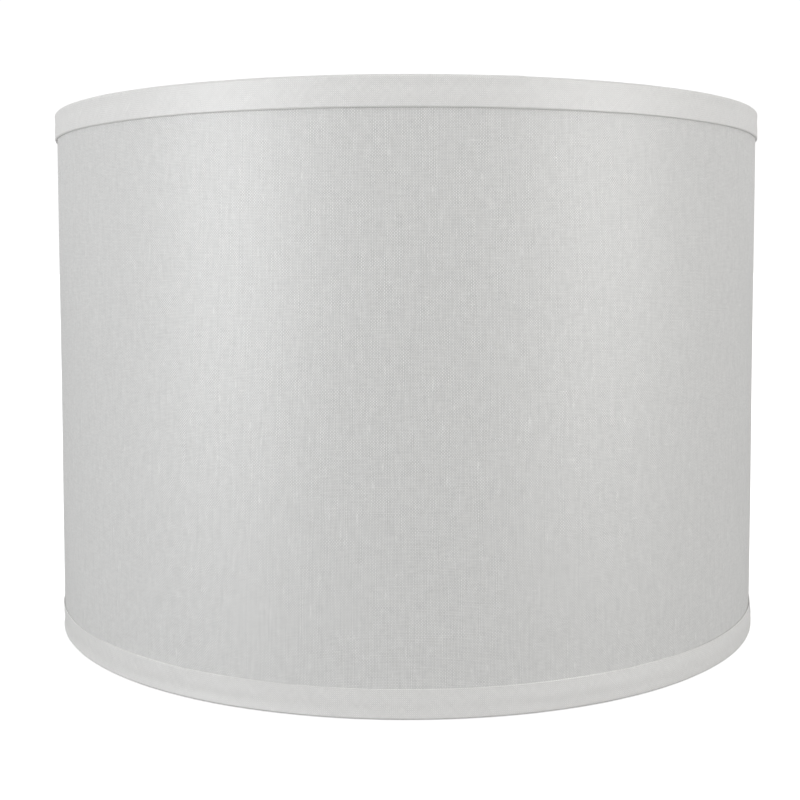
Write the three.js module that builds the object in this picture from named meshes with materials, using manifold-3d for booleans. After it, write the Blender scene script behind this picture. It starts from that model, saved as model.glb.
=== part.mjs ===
// A hardback drum lamp shade. Linen is laminated to a thin styrene sheet and rolled into a
// cylinder round two wire rings, and both edges are bound in folded tape. Three wire arms,
// welded to the top ring, drop to a hub with a hole for the stud of the lamp's harp.
//
// Millimetres, +Z up. The origin is on the shade's axis, on the plane of its bottom edge,
// and the seam runs up the back, at +Y.

import * as THREE from "three";
import { mergeVertices } from "three/addons/utils/BufferGeometryUtils.js";
import Module from "manifold-3d";

// ---------------------------------------------------------------- driving dimensions

const shadeDiameter = 355.6; // across the linen, 14 in
const shadeHeight = 254; // over both trims, 10 in

const linenThickness = 0.5;
const styreneThickness = 0.4;
const seamLap = 10; // how far one end of the laminated sheet runs under the other
const seamRamp = 12; // the stretch in which that end drops inwards, beside the seam
const seamTapeWidth = 8;
const seamTapeThickness = 0.2;

const ringWire = 2.8; // diameter of the wire of both rings

const trimWidth = 12.7; // the band of tape seen from outside, half an inch
const trimReturn = 9.5; // from the shade's edge to the tape's other edge, inside
const tapeThickness = 0.5; // one layer; the outside band is hemmed, so it is two
const tapeShoulder = 2; // the stretch in which the tape comes back from the ring to the lining
const hemRounding = 0.35;
const edgeRounding = 1.2; // the tape's turn over the shade's edge

const armCount = 3;
const firstArmAngle = 30; // degrees from +X, so that no arm stands at the seam
const armWire = 3.2; // diameter
const hubDrop = 25.4; // from the shade's top edge down to the middle of the hub, 1 in
const armStub = 7; // from the ring to the corner where the arm turns down
const armRampRun = 11; // how far in the arm moves while it comes down
const armBend = 5; // length cut from each side of a corner by its bend

const studHole = 11.1; // bore of the eyelet, 7/16 in
const eyeletWall = 0.8;
const eyeletFlangeWidth = 2.65; // the rolled ends, outside the tube
const hubFlatMargin = 1.5; // the flat of the stamped shells, outside the eyelet's flange
const hubSlopeRun = 5.5; // from that flat to the rim
const hubShell = 1.2; // sheet thickness of the stamped shells

// Clearances between pieces that touch on the real shade
const glueGap = 0.1; // laminated layers, and the eyelet in its shells
const tapeGap = 0.15; // tape over what it covers
const seatGap = 0.3; // metal in its seat, and welds

const facets = 72; // sides of every large ring, a multiple of 4 and of armCount
const hubFacets = 36;
const wireSides = 8;
const grooveSides = 12;
const armSteps = 40;

// ---------------------------------------------------------------- sizes that follow

const degrees = Math.PI / 180;

const linenRadius = shadeDiameter / 2;
const styreneRadius = linenRadius - linenThickness - glueGap;
const liningRadius = styreneRadius - styreneThickness; // the face seen from inside
const edgeInset = tapeThickness + seatGap; // from the shade's edge to the sheet's edge
const ringRadius = liningRadius - seatGap - ringWire / 2; // to the middle of the wire
const ringInset = edgeInset + ringWire / 2; // from the shade's edge to the same
const ringZ = shadeHeight - ringInset; // the top ring's

const seamTapeRadius = liningRadius - tapeGap;
const seamStep = linenRadius - (seamTapeRadius - seamTapeThickness - tapeGap);
const seamClip = trimReturn + 1; // the inner end is cut away this far, to clear the rings

const hubZ = shadeHeight - hubDrop;
const armAngles = Array.from({ length: armCount }, (_, i) => firstArmAngle + i * 360 / armCount);
const boreRadius = studHole / 2;
const eyeletRadius = boreRadius + eyeletWall;
const flangeRadius = eyeletRadius + eyeletFlangeWidth;
const shellBore = eyeletRadius + glueGap;
const hubFlatRadius = flangeRadius + hubFlatMargin;
const hubRadius = hubFlatRadius + hubSlopeRun;
const hubHollow = armWire / 2 + seatGap; // from the hub's middle to the inside of a shell
const hubHalf = hubHollow + hubShell;
const armStart = eyeletRadius + seatGap;
const armEnd = ringRadius - ringWire / 2 - seatGap;

// ---------------------------------------------------------------- solids and helpers

const wasm = await Module();
wasm.setup();
const weldDistance = 1e-4;

/** The closed mesh of a geometry, as a solid that can be joined and cut. */
function solidOf(geometry) {
  const bare = geometry.clone();
  bare.deleteAttribute("normal");
  bare.deleteAttribute("uv");
  const merged = mergeVertices(bare, weldDistance);
  return new wasm.Manifold(new wasm.Mesh({
    numProp: 3,
    vertProperties: new Float32Array(merged.attributes.position.array),
    triVerts: new Uint32Array(merged.index.array),
  }));
}

/** The geometry of a solid. */
function geometryOf(solid) {
  const mesh = solid.getMesh();
  const geometry = new THREE.BufferGeometry();
  geometry.setAttribute("position", new THREE.BufferAttribute(mesh.vertProperties, 3));
  geometry.setIndex(new THREE.BufferAttribute(mesh.triVerts, 1));
  return geometry;
}

/** A closed [radius, height] profile turned about the Z axis. */
function turned(profile, sides) {
  const closed = [...profile, profile[0]];
  const points = closed.map(([radius, z]) => new THREE.Vector2(radius, z));
  return new THREE.LatheGeometry(points, sides).rotateX(Math.PI / 2);
}

/** Points round a wire's section, whose middle is at this radius and height. */
function wireSection(radius, z, wire) {
  return Array.from({ length: wireSides }, (_, i) => {
    const angle = i * 2 * Math.PI / wireSides;
    return [radius + wire / 2 * Math.cos(angle), z + wire / 2 * Math.sin(angle)];
  });
}

/** A point of the many-sided ring of this radius: straight between its corners. */
function onRing(radius, angle) {
  const side = 360 / facets;
  const across = ((angle % side) + side) % side - side / 2;
  const reach = radius * Math.cos(side / 2 * degrees) / Math.cos(across * degrees);
  return new THREE.Vector2(Math.cos(angle * degrees), Math.sin(angle * degrees))
    .multiplyScalar(reach);
}

/** A level outline drawn up into a plate or wall between two heights. */
function prism(outline, low, high) {
  return new THREE.ExtrudeGeometry(new THREE.Shape(outline), {
    depth: high - low, steps: 1, bevelEnabled: false,
  }).translate(0, 0, low);
}

/** A block standing across a spoke at this angle, between two radii and two heights. */
function spokeBlock(angle, inner, outer, width, low, high) {
  return new THREE.BoxGeometry(outer - inner, width, high - low)
    .translate((inner + outer) / 2, 0, (low + high) / 2)
    .rotateZ(angle * degrees);
}

// ---------------------------------------------------------------- laminated sheet

const seamAngle = 90;
const lapAngle = seamLap / linenRadius / degrees;
const rampAngle = seamRamp / linenRadius / degrees;

/** A sheet's plan through these angles. fall(angle) is how far it lies inside its radius. */
function sheetPlan(radius, thickness, angles, fall) {
  const outside = angles.map((angle) => onRing(radius - fall(angle), angle));
  const inside = angles.map((angle) => onRing(radius - thickness - fall(angle), angle));
  return [...outside, ...inside.reverse()];
}

/** One layer of the laminated sheet, rolled once round and lapped under itself. */
function rolledSheet(radius, thickness) {
  const around = Array.from({ length: facets }, (_, i) => seamAngle + i * 360 / facets);
  const rampStart = seamAngle + 360 - rampAngle;
  const once = [...around, rampStart];
  const wall = prism(
    sheetPlan(radius, thickness, once, () => 0), edgeInset, shadeHeight - edgeInset,
  );
  const fall = (angle) => seamStep * Math.min(1, Math.max(0, (angle - rampStart) / rampAngle));
  const under = [...once.slice(-3), seamAngle + 360, seamAngle + 360 + lapAngle];
  const tongue = prism(
    sheetPlan(radius, thickness, under, fall), seamClip, shadeHeight - seamClip,
  );
  return geometryOf(solidOf(wall).add(solidOf(tongue)));
}

/** The double-sided tape that joins the two ends. */
function seamTape() {
  const margin = (lapAngle - seamTapeWidth / linenRadius / degrees) / 2;
  const angles = [seamAngle + margin, seamAngle + lapAngle - margin];
  const plan = sheetPlan(seamTapeRadius, seamTapeThickness, angles, () => 0);
  return prism(plan, seamClip, shadeHeight - seamClip);
}

// ---------------------------------------------------------------- rings and trims

/** A trim's section at the bottom edge: the band outside, round the ring, and up the inside. */
function trimSection() {
  const band = linenRadius + tapeGap; // inner face of the outside band
  const outside = band + 2 * tapeThickness;
  const leg = liningRadius - tapeGap; // outer face of the leg inside the shade
  const reach = ringWire / 2 + seatGap; // inner face of the tape round the ring
  const roundRing = (radius, angle) => [
    ringRadius + radius * Math.cos(angle * degrees),
    ringInset + radius * Math.sin(angle * degrees),
  ];
  const legStart = ringInset + reach + tapeShoulder;
  const turn = [0, 45, 90].map((angle) => [
    outside - edgeRounding * (1 - Math.sin(angle * degrees)),
    edgeRounding * (1 - Math.cos(angle * degrees)),
  ]);
  return [
    [outside - hemRounding, trimWidth],
    [band, trimWidth],
    [band, tapeThickness],
    ...[270, 225, 180, 135].map((angle) => roundRing(reach, angle)),
    [leg, legStart],
    [leg, trimReturn],
    [leg - tapeThickness, trimReturn],
    [leg - tapeThickness, legStart + tapeThickness / 2],
    ...[135, 180, 225, 270].map((angle) => roundRing(reach + tapeThickness, angle)),
    ...turn,
    [outside, trimWidth - hemRounding],
  ];
}

/** The top trim is the same section the other way up, slit from its inner edge to each arm. */
function topTrim() {
  const section = trimSection().map(([radius, z]) => [radius, shadeHeight - z]).reverse();
  let trim = solidOf(turned(section, facets));
  const width = armWire + 2 * seatGap;
  const inside = ringRadius - 3 * ringWire; // well clear of the tape, inwards
  const low = shadeHeight - trimReturn - tapeThickness;
  const overArm = ringZ + width / 2;
  for (const angle of armAngles) {
    const passage = spokeBlock(angle, inside, armEnd + seatGap, width, low, overArm);
    const slit = spokeBlock(angle, inside, liningRadius, width, low, ringZ);
    trim = trim.subtract(solidOf(passage)).subtract(solidOf(slit));
  }
  return geometryOf(trim);
}

// ---------------------------------------------------------------- spider

/** Level out of the hub, up the ramp, and level again to the ring, with bent corners. */
function spiderArm(angle) {
  const corners = [
    [armStart, hubZ],
    [armEnd - armStub - armRampRun, hubZ],
    [armEnd - armStub, ringZ],
    [armEnd, ringZ],
  ].map(([reach, z]) => new THREE.Vector3(reach, 0, z));
  const path = new THREE.CurvePath();
  let from = corners[0];
  for (let i = 1; i < corners.length - 1; i += 1) {
    const corner = corners[i];
    const before = corners[i - 1].clone().sub(corner).setLength(armBend).add(corner);
    const after = corners[i + 1].clone().sub(corner).setLength(armBend).add(corner);
    path.add(new THREE.LineCurve3(from, before));
    path.add(new THREE.QuadraticBezierCurve3(before, corner, after));
    from = after;
  }
  path.add(new THREE.LineCurve3(from, corners.at(-1)));
  const section = wireSection(0, 0, armWire).map(([x, y]) => new THREE.Vector2(x, y));
  return new THREE.ExtrudeGeometry(new THREE.Shape(section), {
    steps: armSteps, bevelEnabled: false, extrudePath: path,
  }).rotateZ(angle * degrees);
}

/** A shallow stamped shell, flat round the eyelet and sloping to its rim, grooved for the arms.
 *  side is 1 for the upper shell and -1 for the lower. */
function hubShellAt(side) {
  const rim = seatGap / 2; // from the hub's middle to the rim
  const upper = [
    [shellBore, hubHollow],
    [hubFlatRadius, hubHollow],
    [hubRadius - hubShell, rim],
    [hubRadius, rim],
    [hubFlatRadius + hubShell / 2, hubHalf],
    [shellBore, hubHalf],
  ];
  const section = upper.map(([radius, z]) => [radius, hubZ + side * z]);
  let shell = solidOf(turned(side > 0 ? section : section.reverse(), hubFacets));
  const grooveRadius = hubHollow / Math.cos(Math.PI / grooveSides);
  for (const angle of armAngles) {
    const groove = new THREE.CylinderGeometry(
      grooveRadius, grooveRadius, 2 * hubRadius, grooveSides,
    );
    groove.rotateZ(Math.PI / 2).translate(hubRadius, 0, hubZ).rotateZ(angle * degrees);
    shell = shell.subtract(solidOf(groove));
  }
  return geometryOf(shell);
}

/** A hollow rivet: a tube whose two ends are rolled out flat over the shells. */
function hubEyelet() {
  const seat = hubHalf + glueGap; // inner face of each rolled end
  const face = seat + eyeletWall;
  const rounding = eyeletWall / 2;
  const upper = [
    [eyeletRadius, seat],
    [flangeRadius, seat],
    [flangeRadius, face - rounding],
    [flangeRadius - rounding, face],
    [boreRadius + rounding, face],
    [boreRadius, face - rounding],
  ];
  const lower = upper.map(([radius, z]) => [radius, -z]).reverse();
  const section = [...upper, ...lower].map(([radius, z]) => [radius, hubZ + z]);
  return turned(section, hubFacets);
}

// ---------------------------------------------------------------- finishes

/** A plain finish. */
function finish(color, roughness, metalness) {
  return new THREE.MeshStandardMaterial({ color, roughness, metalness });
}

const linen = finish(0xdcdad4, 0.9, 0);
const trimLinen = finish(0xe4e1da, 0.9, 0);
const styrene = finish(0xf1efe8, 0.55, 0);
const adhesive = finish(0xe8e4d6, 0.6, 0);
const ringSteel = finish(0xa9a9a6, 0.45, 1);
const nickel = finish(0xc4c1ba, 0.3, 1);

// ---------------------------------------------------------------- the assembly

const lampShade = new THREE.Group();

/** Adds one named piece. */
function piece(name, geometry, material) {
  const mesh = new THREE.Mesh(geometry, material);
  mesh.name = name;
  lampShade.add(mesh);
}

piece("linen_cover", rolledSheet(linenRadius, linenThickness), linen);
piece("styrene_backing", rolledSheet(styreneRadius, styreneThickness), styrene);
piece("seam_tape", seamTape(), adhesive);
piece("bottom_ring", turned(wireSection(ringRadius, ringInset, ringWire), facets), ringSteel);
piece("top_ring", turned(wireSection(ringRadius, ringZ, ringWire), facets), ringSteel);
piece("bottom_trim", turned(trimSection(), facets), trimLinen);
piece("top_trim", topTrim(), trimLinen);
armAngles.forEach((angle, i) => piece(`spider_arm_${i + 1}`, spiderArm(angle), nickel));
piece("hub_upper_shell", hubShellAt(1), nickel);
piece("hub_lower_shell", hubShellAt(-1), nickel);
piece("hub_eyelet", hubEyelet(), nickel);

export default lampShade;
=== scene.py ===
"""The looks of a hardback drum lamp shade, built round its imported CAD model.

Metres, +Z up, with the origin on the shade's axis at its bottom edge and the seam at +Y.
"""
import math

import bpy
import numpy as np
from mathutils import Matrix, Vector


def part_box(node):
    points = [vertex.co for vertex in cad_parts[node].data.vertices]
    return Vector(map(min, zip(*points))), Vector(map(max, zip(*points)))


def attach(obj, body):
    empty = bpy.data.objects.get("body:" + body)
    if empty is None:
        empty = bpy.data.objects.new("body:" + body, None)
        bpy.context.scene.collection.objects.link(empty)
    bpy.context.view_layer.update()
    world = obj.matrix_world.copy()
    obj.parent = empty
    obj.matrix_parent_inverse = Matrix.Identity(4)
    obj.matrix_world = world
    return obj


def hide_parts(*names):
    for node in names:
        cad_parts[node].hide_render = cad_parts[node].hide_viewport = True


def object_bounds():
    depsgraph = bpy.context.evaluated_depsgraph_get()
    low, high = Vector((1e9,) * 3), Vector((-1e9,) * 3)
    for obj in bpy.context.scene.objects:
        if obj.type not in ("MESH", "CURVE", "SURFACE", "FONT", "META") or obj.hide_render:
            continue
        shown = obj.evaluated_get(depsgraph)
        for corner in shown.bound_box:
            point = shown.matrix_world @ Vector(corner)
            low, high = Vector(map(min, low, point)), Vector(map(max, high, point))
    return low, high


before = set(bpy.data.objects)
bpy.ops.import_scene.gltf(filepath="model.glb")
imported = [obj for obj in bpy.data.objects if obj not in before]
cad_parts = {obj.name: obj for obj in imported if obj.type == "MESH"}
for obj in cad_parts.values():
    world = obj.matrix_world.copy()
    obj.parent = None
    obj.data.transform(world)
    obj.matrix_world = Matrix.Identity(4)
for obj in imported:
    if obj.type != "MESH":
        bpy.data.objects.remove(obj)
cad_low, cad_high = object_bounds()


# ---------------------------------------------------------------- camera
# A longish lens stands a little above the middle of the shade and looks slightly down, so
# that both trims curve away from the eye.

eye_distance = 0.6601
eye_height = 0.1813
look_down = 0.0562
look_aside = 0.0045
tilt = 0.0016

camera_data = bpy.data.cameras.new("camera")
camera_data.sensor_width = 36
camera_data.lens = 55.75
camera_data.shift_x = -0.0005
camera_data.shift_y = -0.0844
camera_data.clip_start = 0.01
camera = bpy.data.objects.new("camera", camera_data)
camera.location = (0, -eye_distance, eye_height)
camera.rotation_euler = (math.pi / 2 - look_down, tilt, look_aside)
bpy.context.scene.collection.objects.link(camera)
bpy.context.scene.camera = camera


# ---------------------------------------------------------------- linen cover
# One sheet of plain-weave linen, glued to the stiff backing and rolled round once. Its
# outer end is turned over the backing's edge, and the other end drops under it at the back.

MM = 0.001

cover_low, cover_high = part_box("linen_cover")
cover_radius = cover_high.x
cover_thickness = 0.5 * MM
seam_angle = math.pi / 2
seam_lap = 10 * MM
seam_ramp = 12 * MM
seam_drop = 1.5 * MM
seam_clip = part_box("seam_tape")[0].z
seam_clip_run = 2 * MM
turned_in = 1.15 * MM
turned_round = 0.75 * MM
sway = 0.12 * MM


def grid_mesh(name, points, uv=None, left_out=None, closed=(False, False)):
    """The mesh through points[i, j], with one face for each cell between neighbours. uv[i, j]
    is its map in metres, left_out[i, j] leaves a cell out, and closed says whether the last
    row or column joins the first."""
    rows, columns = points.shape[:2]
    corner = np.arange(rows * columns).reshape(rows, columns)
    if closed[0]:
        corner = np.concatenate([corner, corner[:1]], 0)
    if closed[1]:
        corner = np.concatenate([corner, corner[:, :1]], 1)
    cells = np.stack([corner[:-1, :-1], corner[1:, :-1], corner[1:, 1:], corner[:-1, 1:]], -1)
    faces = cells.reshape(-1, 4) if left_out is None else cells[~left_out]
    mesh = bpy.data.meshes.new(name)
    mesh.from_pydata(points.reshape(-1, 3).tolist(), [], faces.tolist())
    if uv is not None:
        at_corners = uv.reshape(-1, 2)[faces.ravel()]
        layer = mesh.uv_layers.new(name="cloth")
        layer.uv.foreach_set("vector", at_corners.astype(np.float32).ravel())
    mesh.polygons.foreach_set("use_smooth", np.ones(len(mesh.polygons), bool))
    return mesh


def add_piece(mesh, material, slot, *stands_for):
    """The mesh as a piece of the shade, with its finish, in place of the CAD nodes named."""
    piece = bpy.data.objects.new(mesh.name, mesh)
    bpy.context.scene.collection.objects.link(piece)
    mesh.materials.append(material)
    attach(piece, "root")
    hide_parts(*stands_for)
    return piece


def thicken(piece, thickness, rounding=0.0):
    """Gives a sheet its thickness, inwards from its face. Its cut edges are rounded, or left
    crisp where the rounding is 0."""
    wall = piece.modifiers.new("thickness", "SOLIDIFY")
    wall.thickness = thickness
    wall.offset = -1
    if rounding:
        edge = piece.modifiers.new("rounded edge", "BEVEL")
        edge.width = rounding
        edge.segments = 2
        edge.limit_method = "ANGLE"
        edge.angle_limit = math.radians(50)
    else:
        crisp = piece.modifiers.new("crisp edge", "WEIGHTED_NORMAL")
        crisp.weight = 100


def rolled_sheet(radius, set_back, turned):
    """The face of one layer of the drum. It keeps its radius from its outer end all the way
    round, then drops by the seam's drop along a smooth ramp and runs on under the outer end,
    clipped shorter there so that it clears the trims. Where turned is not 0, the outer end is
    first turned in that far, round a quarter circle. Radius and length give the polar angle,
    and a slow ripple keeps the roll from being true. The map's u is the length along the
    sheet and its v the height."""
    ramp_start = 2 * math.pi * radius - seam_ramp
    end = 2 * math.pi * radius + seam_lap
    first = set_back + (turned_round if turned else 0)
    along = np.concatenate([np.linspace(first, ramp_start, 361),
                            np.linspace(ramp_start, end, 31)[1:]])
    share = np.clip((along - ramp_start) / seam_ramp, 0, 1)
    reach = radius - seam_drop * share * share * (3 - 2 * share)
    length = along
    if turned:
        turn = np.linspace(math.pi / 2, 0, 6)[:-1]
        edge = np.concatenate([[set_back], set_back + turned_round * (1 - np.sin(turn))])
        depth = np.concatenate([[turned], turned_round * (1 - np.cos(turn))])
        along = np.concatenate([edge, along])
        reach = np.concatenate([radius - depth, reach])
        length = np.concatenate([edge - depth, length])
    clipped = np.clip((along - ramp_start) / seam_clip_run, 0, 1)
    low = cover_low.z + (seam_clip - cover_low.z) * clipped
    high = cad_high.z - low
    height = low[:, None] + (high - low)[:, None] * np.linspace(0, 1, 49)
    angle = seam_angle + (along / radius)[:, None]
    bulge = np.sin(math.pi * height / cad_high.z)
    ripple = np.cos(3 * angle + 0.7) + 0.7 * np.cos(7 * angle + 9 * height / cad_high.z)
    reach = reach[:, None] + sway * bulge * (ripple - 0.8)
    points = np.stack([reach * np.cos(angle), reach * np.sin(angle), height], -1)
    uv = np.stack([length[:, None] + np.zeros_like(height), height], -1)
    return points, uv


class Finish:
    """A material's nodes. A value is a number, a vector or another node's output."""

    def __init__(self, name):
        self.material = bpy.data.materials.new(name)
        self.material.use_nodes = True
        self.tree = self.material.node_tree
        self.shader = self.tree.nodes["Principled BSDF"]

    def join(self, socket, value):
        if isinstance(value, bpy.types.NodeSocket):
            self.tree.links.new(value, socket)
        else:
            socket.default_value = value

    def add(self, kind, *values, **settings):
        """A node of this kind with its settings, its first inputs filled with the values."""
        node = self.tree.nodes.new("ShaderNode" + kind)
        for name, setting in settings.items():
            setattr(node, name, setting)
        for socket, value in zip(node.inputs, values):
            if value is not None:
                self.join(socket, value)
        return node

    def math(self, operation, a, b=0.0, c=0.0):
        return self.add("Math", a, b, c, operation=operation).outputs[0]

    def noise(self, place, scale, detail=2.0, offset=0.0):
        """Noise from 0 to 1, with its own scale along each axis."""
        moved = self.add("Mapping", place, (offset, offset, offset), None, scale)
        grain = self.add("TexNoise")
        self.join(grain.inputs["Vector"], moved.outputs[0])
        grain.inputs["Scale"].default_value = 1.0
        grain.inputs["Detail"].default_value = detail
        return grain.outputs[0]

    def between(self, value, low, high, to_low=0.0, to_high=1.0):
        """Turns the stretch from low to high smoothly into another, and holds the ends."""
        node = self.add("MapRange", value, low, high, to_low, to_high)
        node.interpolation_type = "SMOOTHSTEP"
        return node.outputs[0]

    def colour(self, colour, factor):
        """One colour, made lighter or darker by a factor near 1."""
        scaled = self.add("VectorMath", colour, operation="SCALE")
        self.join(scaled.inputs["Scale"], factor)
        self.join(self.shader.inputs["Base Color"], scaled.outputs[0])

    def relief(self, height, distance, strength=1.0):
        bump = self.add("Bump")
        self.join(bump.inputs["Height"], height)
        bump.inputs["Distance"].default_value = distance
        bump.inputs["Strength"].default_value = strength
        self.join(self.shader.inputs["Normal"], bump.outputs[0])

    def set(self, **numbers):
        for name, number in numbers.items():
            self.shader.inputs[name.replace("_", " ")].default_value = number


thread_pitch = 0.57 * MM


def linen_finish(name, colour, turn, contrast, slubs):
    """Plain weave. With U and V counted in threads, the warp stands |sin pi U| + c high and
    the weft |sin pi V| - c, where c = sin pi U sin pi V, and the higher of the two is seen.
    Threads wander, each has a tone of its own, slubs are thicker and lighter, and the weave
    is pressed flatter near the sheet's first edge. turn is the angle at which the cloth is
    cut; contrast and slubs are how strongly both show."""
    cloth = Finish(name)
    place = cloth.add("UVMap", uv_map="cloth").outputs[0]
    scale = (1 / thread_pitch, 1 / thread_pitch, 1)
    turned = cloth.add("Mapping", place, None, (0, 0, turn)).outputs[0]
    threads = cloth.add("Mapping", turned, None, None, scale).outputs[0]
    count = cloth.add("SeparateXYZ", threads).outputs

    def wave(axis, stretch, offset):
        wander = cloth.noise(threads, stretch, offset=offset)
        number = cloth.math("MULTIPLY_ADD", wander, 2.4, count[axis])
        return cloth.math("SINE", cloth.math("MULTIPLY", number, math.pi))

    warp_wave = wave(0, (0.12, 0.015, 1), 3.1)
    weft_wave = wave(1, (0.015, 0.12, 1), 7.7)
    cross = cloth.math("MULTIPLY", warp_wave, weft_wave)
    warp = cloth.math("ADD", cloth.math("ABSOLUTE", warp_wave), cross)
    weft = cloth.math("SUBTRACT", cloth.math("ABSOLUTE", weft_wave), cross)
    height = cloth.math("MULTIPLY", cloth.math("MAXIMUM", warp, weft), 0.5)
    warp_shows = cloth.math("GREATER_THAN", warp, weft)

    warp_tone = cloth.noise(threads, (0.45, 0.09, 1), 3.0, 1.3)
    weft_tone = cloth.noise(threads, (0.14, 0.45, 1), 3.0, 5.9)
    warp_slub = cloth.between(cloth.noise(threads, (0.45, 0.075, 1), 2.0, 11.0), 0.64, 0.78)
    weft_slub = cloth.between(cloth.noise(threads, (0.060, 0.45, 1), 2.0, 17.0), 0.68, 0.82)
    nub = cloth.between(cloth.noise(threads, (0.24, 0.15, 1), 1.0, 29.0), 0.76, 0.84)
    slub = cloth.math("MAXIMUM", cloth.math("MAXIMUM", warp_slub, weft_slub), nub)
    tone = cloth.add("Mix", warp_shows, None, weft_tone, warp_tone).outputs[0]
    # painted shade: the colour is darkened in the hollows between the threads, where shade falls
    hollow_shade = cloth.math("POWER", cloth.math("SUBTRACT", 1.0, height), 2.0)
    cloud = cloth.noise(threads, (0.006, 0.006, 1), 2.0, 23.0)
    base = 0.98 - 0.12 * contrast
    crispness = cloth.between(cloth.noise(threads, (0.07, 0.07, 1), 2.0, 37.0),
                              0.36, 0.62, 0.12, 0.29)
    across_sheet = cloth.add("SeparateXYZ", place).outputs["Y"]
    pressed = cloth.between(across_sheet, 0.01, 0.14, 0.55, 1.0)
    crispness = cloth.math("MULTIPLY", crispness, pressed)
    checks = cloth.math("MULTIPLY", cloth.math("SUBTRACT", warp_shows, 0.5), crispness)
    # the painted shade in the hollows between the threads darkens the colour here
    weave = cloth.math("MULTIPLY_ADD", hollow_shade, -0.50, checks)
    weave = cloth.math("MULTIPLY_ADD", tone, 0.36, weave)
    factor = cloth.math("MULTIPLY_ADD", weave, contrast, base)
    factor = cloth.math("MULTIPLY_ADD", slub, slubs, factor)
    factor = cloth.math("MULTIPLY_ADD", cloud, 0.03, factor)
    cloth.colour(colour, factor)
    relief = cloth.math("MULTIPLY_ADD", slub, 0.6, height)
    relief = cloth.math("MULTIPLY_ADD", tone, 0.5, relief)
    cloth.relief(relief, 0.03 * MM, 0.4)
    cloth.set(Roughness=0.50, IOR=1.56, Specular_IOR_Level=1.0)
    return cloth.material


cover_linen = linen_finish("plain weave linen", (0.765, 0.763, 0.750), 0.0, 1.0, 0.14)
cover_points, cover_uv = rolled_sheet(cover_radius, 0.0, turned_in)
cover = add_piece(grid_mesh("linen_drum", cover_points, cover_uv), cover_linen,
                  "linen", "linen_cover")
thicken(cover, cover_thickness)


# ---------------------------------------------------------------- styrene backing
# A thin white styrene sheet, cut to the same pattern as the linen and rolled with it. It
# keeps the drum round, and its satin face is the inside of the shade.

backing_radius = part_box("styrene_backing")[1].x
backing_thickness = 0.4 * MM
backing_set_back = 0.8 * MM

styrene = Finish("satin white styrene")
styrene_place = styrene.add("TexCoord").outputs["Object"]
mottle = styrene.noise(styrene_place, (60, 60, 60), 3.0)
grain = styrene.noise(styrene_place, (1500, 1500, 1500), 2.0, 2.0)
styrene.colour((0.86, 0.85, 0.82), styrene.between(mottle, 0.3, 0.7, 0.985, 1.015))
styrene.join(styrene.shader.inputs["Roughness"], styrene.between(mottle, 0.3, 0.7, 0.42, 0.52))
styrene.relief(grain, 0.02 * MM, 0.5)

backing_points, backing_uv = rolled_sheet(backing_radius, backing_set_back, 0)
backing = add_piece(grid_mesh("styrene_lining", backing_points, backing_uv),
                    styrene.material, "styrene", "styrene_backing")
thicken(backing, backing_thickness)


# ---------------------------------------------------------------- seam tape
# A strip of clear double-sided tape between the two ends of the laminated sheet, where it
# cannot be seen once the drum is closed.

tape_low, tape_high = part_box("seam_tape")
tape_radius = math.hypot(tape_high.x, tape_high.y)
tape_thickness = 0.2 * MM

adhesive = Finish("double-sided tape")
adhesive_place = adhesive.add("TexCoord").outputs["Object"]
wetting = adhesive.noise(adhesive_place, (400, 400, 120), 3.0)
adhesive.colour((0.80, 0.77, 0.68), adhesive.between(wetting, 0.35, 0.65, 0.94, 1.04))
adhesive.relief(wetting, 0.03 * MM, 0.5)
adhesive.set(Roughness=0.5)

tape_angle, tape_height = np.meshgrid(
    np.linspace(math.atan2(tape_high.y, tape_high.x), math.atan2(tape_high.y, tape_low.x), 7),
    np.linspace(tape_low.z, tape_high.z, 40), indexing="ij",
)
tape_points = np.stack([tape_radius * np.cos(tape_angle), tape_radius * np.sin(tape_angle),
                        tape_height], -1)
tape = add_piece(grid_mesh("seam_adhesive", tape_points), adhesive.material,
                 "adhesive_tape", "seam_tape")
thicken(tape, tape_thickness)


# ---------------------------------------------------------------- wire rings
# Two hoops of bright drawn wire, each butt-welded at the back, stiffen the edges. The trims
# are folded round them.

wire_radius = 1.4 * MM
weld_bead = 0.25 * MM
weld_spread = 1.6 * MM
ring_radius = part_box("bottom_ring")[1].x - wire_radius
ring_heights = {name: (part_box(name)[0].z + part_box(name)[1].z) / 2
                for name in ("bottom_ring", "top_ring")}


def round_points(profile, angles, lift=None):
    """A profile of [radius, height] carried round the axis. lift[i, j] moves a point along
    the profile's normal, which is its tangent turned a quarter turn."""
    if lift is None:
        lift = np.zeros((len(angles), len(profile)))
    tangent = np.gradient(profile, axis=0)
    tangent = tangent / np.linalg.norm(tangent, axis=1, keepdims=True)
    reach = profile[:, 0] + lift * tangent[:, 1]
    height = profile[:, 1] - lift * tangent[:, 0]
    angle = np.asarray(angles)[:, None]
    return np.stack([reach * np.cos(angle), reach * np.sin(angle), height], -1)


def metal_finish(name, colour, roughness, lay):
    """Plated or drawn steel. Fine noise stretched along lay roughens the gloss, and slow
    noise clouds it."""
    metal = Finish(name)
    place = metal.add("TexCoord").outputs["Object"]
    fine = metal.noise(place, lay, 3.0)
    slow = metal.noise(place, (90, 90, 90), 3.0, 4.0)
    metal.colour(colour, metal.between(slow, 0.3, 0.7, 0.93, 1.05))
    mixed = metal.math("MULTIPLY_ADD", fine, 0.5, slow)
    metal.join(metal.shader.inputs["Roughness"],
               metal.between(mixed, 0.5, 1.0, roughness - 0.07, roughness + 0.09))
    metal.relief(fine, 0.01 * MM, 0.5)
    metal.set(Metallic=1.0)
    return metal.material


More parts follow.
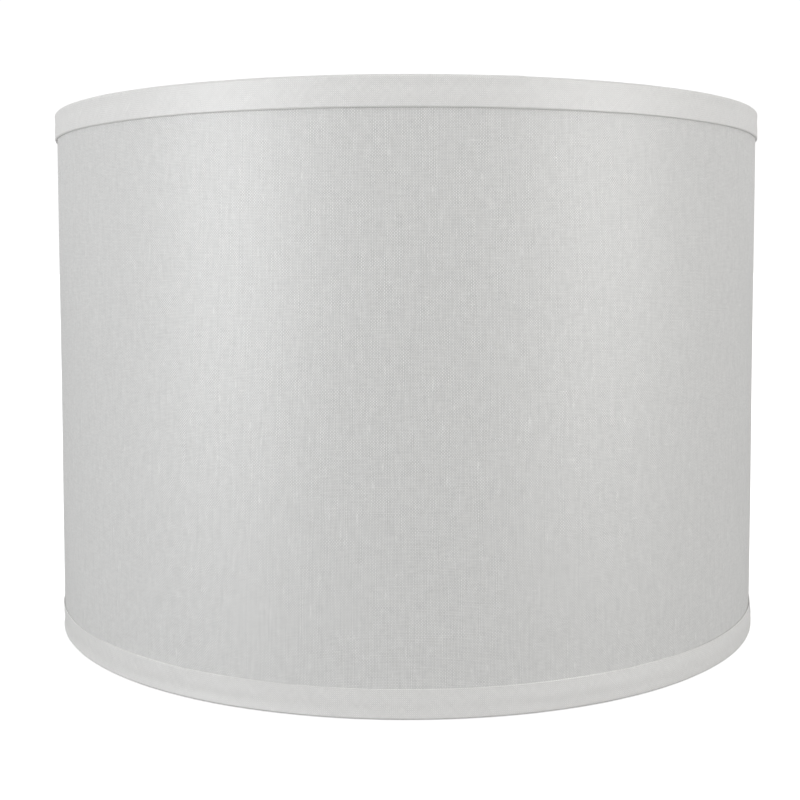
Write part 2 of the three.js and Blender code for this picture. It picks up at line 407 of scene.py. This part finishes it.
drawn_wire = metal_finish("bright drawn wire", (0.62, 0.62, 0.61), 0.38, (900, 900, 2600))
section_turn = np.linspace(0, 2 * math.pi, 24, endpoint=False)
ring_turns = np.linspace(0, 2 * math.pi, 480, endpoint=False)
from_weld = ring_radius * abs(ring_turns - seam_angle)
ring_weld = weld_bead * np.exp(-((from_weld / weld_spread) ** 2))
for ring_name, ring_height in ring_heights.items():
    section = np.stack([ring_radius + wire_radius * np.cos(section_turn),
                        ring_height + wire_radius * np.sin(section_turn)], -1)
    ring_points = round_points(section, ring_turns, ring_weld[:, None] + 0 * section_turn)
    ring = grid_mesh("wire_" + ring_name, ring_points, closed=(True, True))
    add_piece(ring, drawn_wire, "ring_steel", ring_name)


# ---------------------------------------------------------------- folded trims
# A bias-cut strip of the same linen binds each edge. It is hemmed and glued outside, folded
# over the wire, and glued to the lining. Its ends overlap at the back, and it is slit at
# each arm.

# the strip's section
trim_width = 12.7 * MM
strip_thickness = 0.2 * MM
band_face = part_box("bottom_trim")[1].x - 0.2 * MM
leg_face = backing_radius - backing_thickness - 0.65 * MM
leg_height = 9.5 * MM
leg_foot = 8.3 * MM
shoulder_top = 7.2 * MM
shoulder_corner = 6.1 * MM
shoulder_rise = 0.9 * MM
wrap_radius = 2.2 * MM
edge_round = 1.2 * MM
hem_inner = 0.23 * MM
hem_slope = 0.8 * MM
hem_face = cover_radius + 0.1 * MM
hem_depth = 6.2 * MM
sunk_height = 4.6 * MM
sunk_spread = 2.2 * MM
sunk_depth = 0.16 * MM
lean_start = 5 * MM
bottom_tuck = 0.35 * MM

# how it lies along the rim
strip_lap = 10 * MM
lap_ramp = 3 * MM
lap_rise = 0.5 * MM
wave_rise = 0.5 * MM
join_rise = 0.26 * MM
join_sharp = 0.45 * MM
join_soft = 9 * MM
bottom_puff = (-0.1 * MM, 0.5 * MM)
trim_turn = math.radians(-45)


def arc(centre, radius, start, end, count):
    """Points of a circular arc between two angles in degrees."""
    turn = np.radians(np.linspace(start, end, count))
    return np.stack([centre[0] + radius * np.cos(turn), centre[1] + radius * np.sin(turn)], -1)


def bend(start, corner, end, count):
    """Points of a quadratic curve from start to end that leaves and arrives along the
    corner's sides."""
    share = np.linspace(0, 1, count)[:, None]
    start, corner, end = (np.array(point) for point in (start, corner, end))
    return start * (1 - share) ** 2 + corner * 2 * share * (1 - share) + end * share ** 2


def strip_profile(tuck):
    """The strip's right side at the bottom edge, from its raw edge inside the shade, round
    the wire, across the rim, up the band, over the hem's fold, which is pressed down to the
    cover in a quarter ellipse, and down behind it. The ellipse is never bent more sharply
    than the strip is thick. The band sinks a little where the turned-under part ends, and
    towards the hem it leans in by the tuck."""
    ring = (ring_radius, ring_heights["bottom_ring"])
    wrap = arc(ring, wrap_radius, 135, 270, 13)
    leg = np.array([[leg_face, leg_height], [leg_face, leg_foot]])
    shoulder = bend((leg_face, shoulder_top), (leg_face, shoulder_corner),
                    wrap[0] + shoulder_rise, 7)
    rim = np.linspace((ring_radius, 0), (band_face - edge_round, 0), 5)[1:-1]
    edge = arc((band_face - edge_round, edge_round), edge_round, 270, 360, 8)
    across = band_face - tuck - hem_face - hem_inner
    slope = min(hem_slope, across ** 2 / strip_thickness)
    rise = np.linspace(edge_round, trim_width - slope, 19)[1:-1]
    sunk = np.exp(-(((rise - sunk_height) / sunk_spread) ** 2)) * sunk_depth
    lean = np.clip((rise - lean_start) / (trim_width - slope - lean_start), 0, 1)
    band = np.stack([band_face - sunk - tuck * lean * lean * (3 - 2 * lean), rise], -1)
    turn = np.linspace(0, math.pi / 2, 8)
    fold = np.stack([hem_face + hem_inner + across * np.cos(turn),
                     trim_width - slope + slope * np.sin(turn)], -1)
    crease = arc((hem_face + hem_inner, trim_width - hem_inner), hem_inner, 90, 180, 5)[1:]
    under = np.linspace(crease[-1], (hem_face, trim_width - hem_depth), 5)[1:]
    return np.concatenate([leg, shoulder, wrap, rim, edge, band, fold, crease, under])


def stations(start, end, step, close_ups):
    """Angles from start to end a step apart, with closer ones through each close-up, which
    is (middle, half its width, step)."""
    coarse = np.linspace(start, end, round((end - start) / step) + 1)
    parts = []
    for middle, half, fine in close_ups:
        coarse = coarse[(coarse < middle - half - step / 2) | (coarse > middle + half + step / 2)]
        parts.append(np.linspace(middle - half, middle + half, round(2 * half / fine) + 1))
    return np.sort(np.concatenate([coarse, *parts]))


def strip_lift(angles, profile, lap_angle, joins, puff, seed):
    """How far the strip stands off its plain shape. Slow waves run along it, strongest at
    the hem. The last end rides over the first one outside and inside, and the first dips
    under it at the rim. A join is a diagonal seam whose allowance makes the strip thicker
    on one side, ending sharply at the seam and softly away from it, and is pressed flat at
    the hem. The band stands out by puff's mean, and by its cosine towards +X."""
    run = np.concatenate([[0], np.cumsum(np.linalg.norm(np.diff(profile, axis=0), axis=1))])
    rim = run[np.argmin(abs(profile[:, 0] - band_face + edge_round) + profile[:, 1])]
    across = (run - rim)[None, :]
    along = (angles - lap_angle)[:, None] * band_face
    phases = np.random.default_rng(seed).uniform(0, 2 * math.pi, 12)
    waves = np.zeros((len(angles), len(profile)))
    for number, phase in enumerate(phases):
        turns = 5 + 6 * number
        waves += np.cos(turns * angles[:, None] + phase + 90 * across * math.cos(phase)) / turns
    lift = wave_rise * waves * np.clip(across / trim_width + 0.3, 0.15, 1)
    tangent = np.gradient(profile, axis=0)
    facing_rim = np.clip(tangent[:, 0] / np.linalg.norm(tangent, axis=1), 0, 1)[None, :]
    around = 2 * math.pi * band_face
    over = np.clip((along - around + lap_ramp) / lap_ramp, 0, 1)
    under = np.clip((strip_lap + lap_ramp - along) / lap_ramp, 0, 1)
    lift = lift * (1 - over) * (1 - under)
    lift = lift + lap_rise * (over * (1 - facing_rim) - under * facing_rim)
    for join_angle in joins:
        from_join = (angles - join_angle)[:, None] * band_face - across
        sharp = 1 / (1 + np.exp(np.clip(from_join / join_sharp, -50, 50)))
        soft = np.exp(-((np.minimum(from_join, 0) / join_soft) ** 2))
        pressed = 1 - 0.9 * np.clip(across / trim_width, 0, 1)
        lift = lift + join_rise * (sharp - 0.4) * soft * pressed
    swell = np.sin(math.pi * np.clip(across / trim_width, 0, 1) ** 0.7)
    lift = lift + (puff[0] + puff[1] * np.cos(angles[:, None])) * swell
    return lift, run


def add_trim(name, stands_for, upside_down, lap_angle, joins, slits, tuck, puff, seed):
    """One trim, kept flat at the rim. The top one is the bottom one upside down, so its rows
    run the other way to keep its right side out. A slit leaves out the cells below and round
    an arm."""
    profile = strip_profile(tuck)
    close_ups = [(angle, math.radians(7), math.radians(0.13)) for angle in joins]
    close_ups += [(angle, slit_half, slit_half / 2) for angle in slits]
    end_angle = lap_angle + 2 * math.pi + strip_lap / band_face
    angles = stations(lap_angle, end_angle, math.radians(0.75), close_ups)
    lift, run = strip_lift(angles, profile, lap_angle, joins, puff, seed)
    points = round_points(profile, angles, lift)
    uv = np.stack([angles[:, None] * band_face + 0 * run, 0 * angles[:, None] + run], -1)
    middles = (angles[1:] + angles[:-1])[:, None] / 2
    cut = np.zeros((len(angles) - 1, len(profile) - 1), bool)
    inside = profile[1:, 0] < ring_radius - slit_reach
    inside[:np.argmin(profile[:, 0])] = True
    for angle in slits:
        cut |= (abs(middles - angle) < slit_half) & inside
    points[..., 2] = np.maximum(points[..., 2], 0)
    if upside_down:
        points[..., 2] = cad_high.z - points[..., 2]
        points, uv, cut = points[:, ::-1], uv[:, ::-1], cut[:, ::-1]
    trim = add_piece(grid_mesh(name, points, uv, cut), trim_linen, "trim_linen", stands_for)
    thicken(trim, strip_thickness)


arm_angles = [math.radians(30 + 120 * number) for number in range(3)]
slit_half = 1.9 * MM / ring_radius
slit_reach = 1.3 * MM
slit_turns = [angle + (2 * math.pi if angle < seam_angle + 0.1 else 0) for angle in arm_angles]
front = math.radians(270)

# painted light: the strip is the same linen as the cover, but its colour is made lighter for the extra
# light that the bias-cut strip shows
trim_linen = linen_finish("bias-cut linen strip", (0.838, 0.832, 0.816), trim_turn, 0.6, 0.07)
add_trim("folded_bottom_trim", "bottom_trim", False, seam_angle + 0.09,
         [math.radians(205)], [], bottom_tuck, bottom_puff, 5)
add_trim("folded_top_trim", "top_trim", True, seam_angle + 0.06,
         [front + math.radians(15)], slit_turns, 0, (0, 0), 8)


# ---------------------------------------------------------------- spider arms
# Three lengths of nickel-plated wire run level from the hub, bend up near the ring, and are
# welded to its inner side.

arm_radius = 1.6 * MM
hub_height = cad_high.z - 25.4 * MM
arm_start = 6.65 * MM
arm_end = ring_radius - wire_radius + 0.3 * MM
arm_head = ring_radius - wire_radius - 7.3 * MM
arm_foot = arm_head - 11 * MM
arm_bend = 5 * MM
tip_bead = 0.55 * MM
tip_spread = 1.1 * MM

satin_nickel = metal_finish("satin nickel plate", (0.74, 0.72, 0.68), 0.30, (1400, 1400, 1400))


def arm_path():
    """The middle of the wire, as [distance from the axis, height], with curved corners."""
    top = ring_heights["top_ring"]
    corners = np.array([(arm_start, hub_height), (arm_foot, hub_height), (arm_head, top),
                        (arm_end, top)])
    parts = []
    for before, corner, after in zip(corners, corners[1:], corners[2:]):
        back = (before - corner) / np.linalg.norm(before - corner)
        on = (after - corner) / np.linalg.norm(after - corner)
        parts.append(bend(corner + arm_bend * back, corner, corner + arm_bend * on, 13))
    straight = np.linspace(corners[0], parts[0][0], 40)[:-1]
    tip = np.linspace(parts[1][-1], corners[-1], 14)[1:]
    return np.concatenate([straight, *parts, tip])


def wire_tube(name, path, radii, angle, sides):
    """A circle of the given radius at each point of the path, square to it, turned to the
    arm's angle, with a many-sided cap at both ends."""
    tangent = np.gradient(path, axis=0)
    tangent = tangent / np.linalg.norm(tangent, axis=1, keepdims=True)
    turn = np.linspace(0, 2 * math.pi, sides, endpoint=False)
    up, aside = radii[:, None] * np.cos(turn), radii[:, None] * np.sin(turn)
    reach = path[:, :1] - up * tangent[:, 1:]
    height = path[:, 1:] + up * tangent[:, :1]
    points = np.stack([reach * math.cos(angle) - aside * math.sin(angle),
                       reach * math.sin(angle) + aside * math.cos(angle), height], -1)
    mesh = grid_mesh(name, points, closed=(False, True))
    faces = [list(polygon.vertices) for polygon in mesh.polygons]
    last = (len(path) - 1) * sides
    faces += [list(range(sides)), list(range(last, last + sides))[::-1]]
    mesh.clear_geometry()
    mesh.from_pydata(points.reshape(-1, 3).tolist(), [], faces)
    mesh.polygons.foreach_set("use_smooth", np.ones(len(faces), bool))
    return mesh


path = arm_path()
to_end = np.linalg.norm(path - path[-1], axis=1)
from_start = (path[:, 0] - path[0, 0]) / MM
blunt = np.sqrt(np.clip(from_start, 0, 0.97) * (2 - np.clip(from_start, 0, 1)))
radii = arm_radius * np.maximum(blunt, 0.5) + tip_bead * np.exp(-((to_end / tip_spread) ** 2))
for number, angle in enumerate(arm_angles, 1):
    add_piece(wire_tube(f"bent_arm_{number}", path, radii, angle, 20), satin_nickel,
              "satin_nickel", f"spider_arm_{number}")


# ---------------------------------------------------------------- hub shells
# Two shallow stampings clamp the ends of the arms between them. Each is flat in the middle,
# slopes to its rim, and is pressed out into a half-round channel over every arm.

shell_bore = 6.45 * MM
shell_rim = 16 * MM
shell_flat = 10.5 * MM
shell_half = 3.1 * MM
shell_sheet = 1.15 * MM
shell_edge = 0.25 * MM
rim_lip = 0.8 * MM
rim_gap = 0.1 * MM
channel_radius = 3.1 * MM
channel_sink = 0.05 * MM
channel_blend = 0.5 * MM


def smooth_max(a, b, blend):
    """The larger of two heights, with the crease between them rounded over a blend."""
    near = np.clip(blend - abs(a - b), 0, None)
    return np.maximum(a, b) + near ** 2 / (4 * blend)


def shell_mesh(name, side):
    """The outer face of a stamping over a polar grid: its height is the smooth maximum of a
    dish, which falls from flat to rim in a smooth step, and of a half-round channel along
    each arm. side is 1 for the upper shell and -1 for the lower one."""
    reach = np.linspace(shell_bore, shell_rim, 40)[None, :]
    turn = np.linspace(0, 2 * math.pi, 240, endpoint=False)[:, None]
    fall = np.clip((reach - shell_flat) / (shell_rim - rim_lip - shell_flat), 0, 1)
    rim_face = shell_sheet + rim_gap
    height = shell_half - (shell_half - rim_face) * fall * fall * (3 - 2 * fall)
    for angle in arm_angles:
        beside = reach * np.sin(turn - angle)
        channel = np.sqrt(np.clip(channel_radius ** 2 - beside ** 2, 0, None))
        channel = np.where(np.cos(turn - angle) > 0, channel - channel_sink, 0)
        height = smooth_max(height, channel, channel_blend)
    height = np.minimum(height, shell_half)
    points = np.stack([reach * np.cos(turn), reach * np.sin(turn),
                       hub_height + side * height], -1)
    return grid_mesh(name, points[:, ::-side], closed=(True, False))


for shell_name, stands_for, side in (("stamped_upper_shell", "hub_upper_shell", 1),
                                     ("stamped_lower_shell", "hub_lower_shell", -1)):
    shell = add_piece(shell_mesh(shell_name, side), satin_nickel, "satin_nickel", stands_for)
    thicken(shell, shell_sheet, shell_edge)


# ---------------------------------------------------------------- hub eyelet
# A hollow rivet holds the two shells together. Its ends are rolled out over them, and the
# stud of the lamp's harp goes through its bore.

bore = 5.55 * MM
eyelet_tube = 6.35 * MM
flange = 9.0 * MM
flange_seat = 3.2 * MM
flange_face = 4.0 * MM
mouth_round = 0.6 * MM
flange_round = 0.5 * MM


def eyelet_profile():
    """The eyelet's section, up the bore, over one rolled end and down to the other."""
    upper = np.concatenate([
        arc((bore + mouth_round, flange_face - mouth_round), mouth_round, 180, 90, 7),
        arc((flange - flange_round, flange_face - flange_round), flange_round, 90, 0, 7),
        [[flange, flange_seat], [eyelet_tube, flange_seat]],
    ])
    lower = upper[::-1] * (1, -1)
    return np.concatenate([upper, lower]) + (0, hub_height)


eyelet_points = round_points(eyelet_profile(), np.linspace(0, 2 * math.pi, 120, endpoint=False))
add_piece(grid_mesh("rolled_eyelet", eyelet_points[:, ::-1], closed=(True, True)),
          satin_nickel, "satin_nickel", "hub_eyelet")


# ---------------------------------------------------------------- studio
# A plain pale floor, a bright plain surround, two large soft lights in front, the left one a
# little stronger, a weaker one above, and one behind for the back of the shade.

surround_front = 0.28
surround_back = 0.76
light_width = 0.9
light_height = 0.8
light_distance = 1.5

floor_finish = Finish("pale floor")
floor_finish.set(Base_Color=(0.38, 0.38, 0.38, 1), Roughness=0.3, IOR=2.3, Emission_Color=(1, 1, 1, 1))
shown = floor_finish.add("LightPath").outputs["Is Camera Ray"]
floor_finish.join(floor_finish.shader.inputs["Emission Strength"],
                  floor_finish.between(shown, 0.0, 1.0, 0.0, 0.8))
floor_mesh = bpy.data.meshes.new("floor")
floor_mesh.from_pydata([(-20, -20, 0), (20, -20, 0), (20, 20, 0), (-20, 20, 0)], [],
                       [(0, 1, 2, 3)])
floor_mesh.materials.append(floor_finish.material)
floor = bpy.data.objects.new("floor", floor_mesh)
floor.location = (0, 0, -0.05 * MM)
bpy.context.scene.collection.objects.link(floor)

world = bpy.data.worlds.new("studio")
world.use_nodes = True
bpy.context.scene.world = world
surround = world.node_tree
from_front = surround.nodes.new("ShaderNodeSeparateXYZ")
surround.links.new(surround.nodes.new("ShaderNodeTexCoord").outputs["Generated"],
                   from_front.inputs[0])
glow = surround.nodes.new("ShaderNodeMapRange")
for socket, number in zip(glow.inputs[1:5], (-1, 1, surround_front, surround_back)):
    socket.default_value = number
surround.links.new(from_front.outputs["Y"], glow.inputs[0])
seen = surround.nodes.new("ShaderNodeLightPath").outputs["Is Camera Ray"]
level = surround.nodes.new("ShaderNodeMix")
level.inputs["B"].default_value = 1.05
surround.links.new(seen, level.inputs["Factor"])
surround.links.new(glow.outputs[0], level.inputs["A"])
surround.links.new(level.outputs[0], surround.nodes["Background"].inputs["Strength"])
surround.nodes["Background"].inputs["Color"].default_value = (1, 1, 1, 1)


def soft_light(name, azimuth, elevation, colour, power):
    """An oblong light that faces the middle of the shade, at angles in degrees from the
    front and from the level."""
    data = bpy.data.lights.new(name, "AREA")
    data.shape = "RECTANGLE"
    data.size = light_width
    data.size_y = light_height
    data.color = colour
    data.energy = power
    light = bpy.data.objects.new(name, data)
    turn, rise = math.radians(azimuth - 90), math.radians(elevation)
    reach = light_distance * math.cos(rise)
    light.location = (reach * math.cos(turn), reach * math.sin(turn),
                      cad_high.z / 2 + light_distance * math.sin(rise))
    light.rotation_euler = (math.pi / 2 - rise, 0, turn + math.pi / 2)
    bpy.context.scene.collection.objects.link(light)


soft_light("left light", -50, 5, (0.978, 0.988, 1.0), 10.35)
soft_light("right light", 56, 5, (1.0, 0.995, 0.985), 8.65)
soft_light("top light", 0, 55, (1.0, 1.0, 1.0), 3.0)
soft_light("back light", 180, 20, (1.0, 1.0, 1.0), 7.0)

bpy.context.scene.view_settings.view_transform = "Standard"
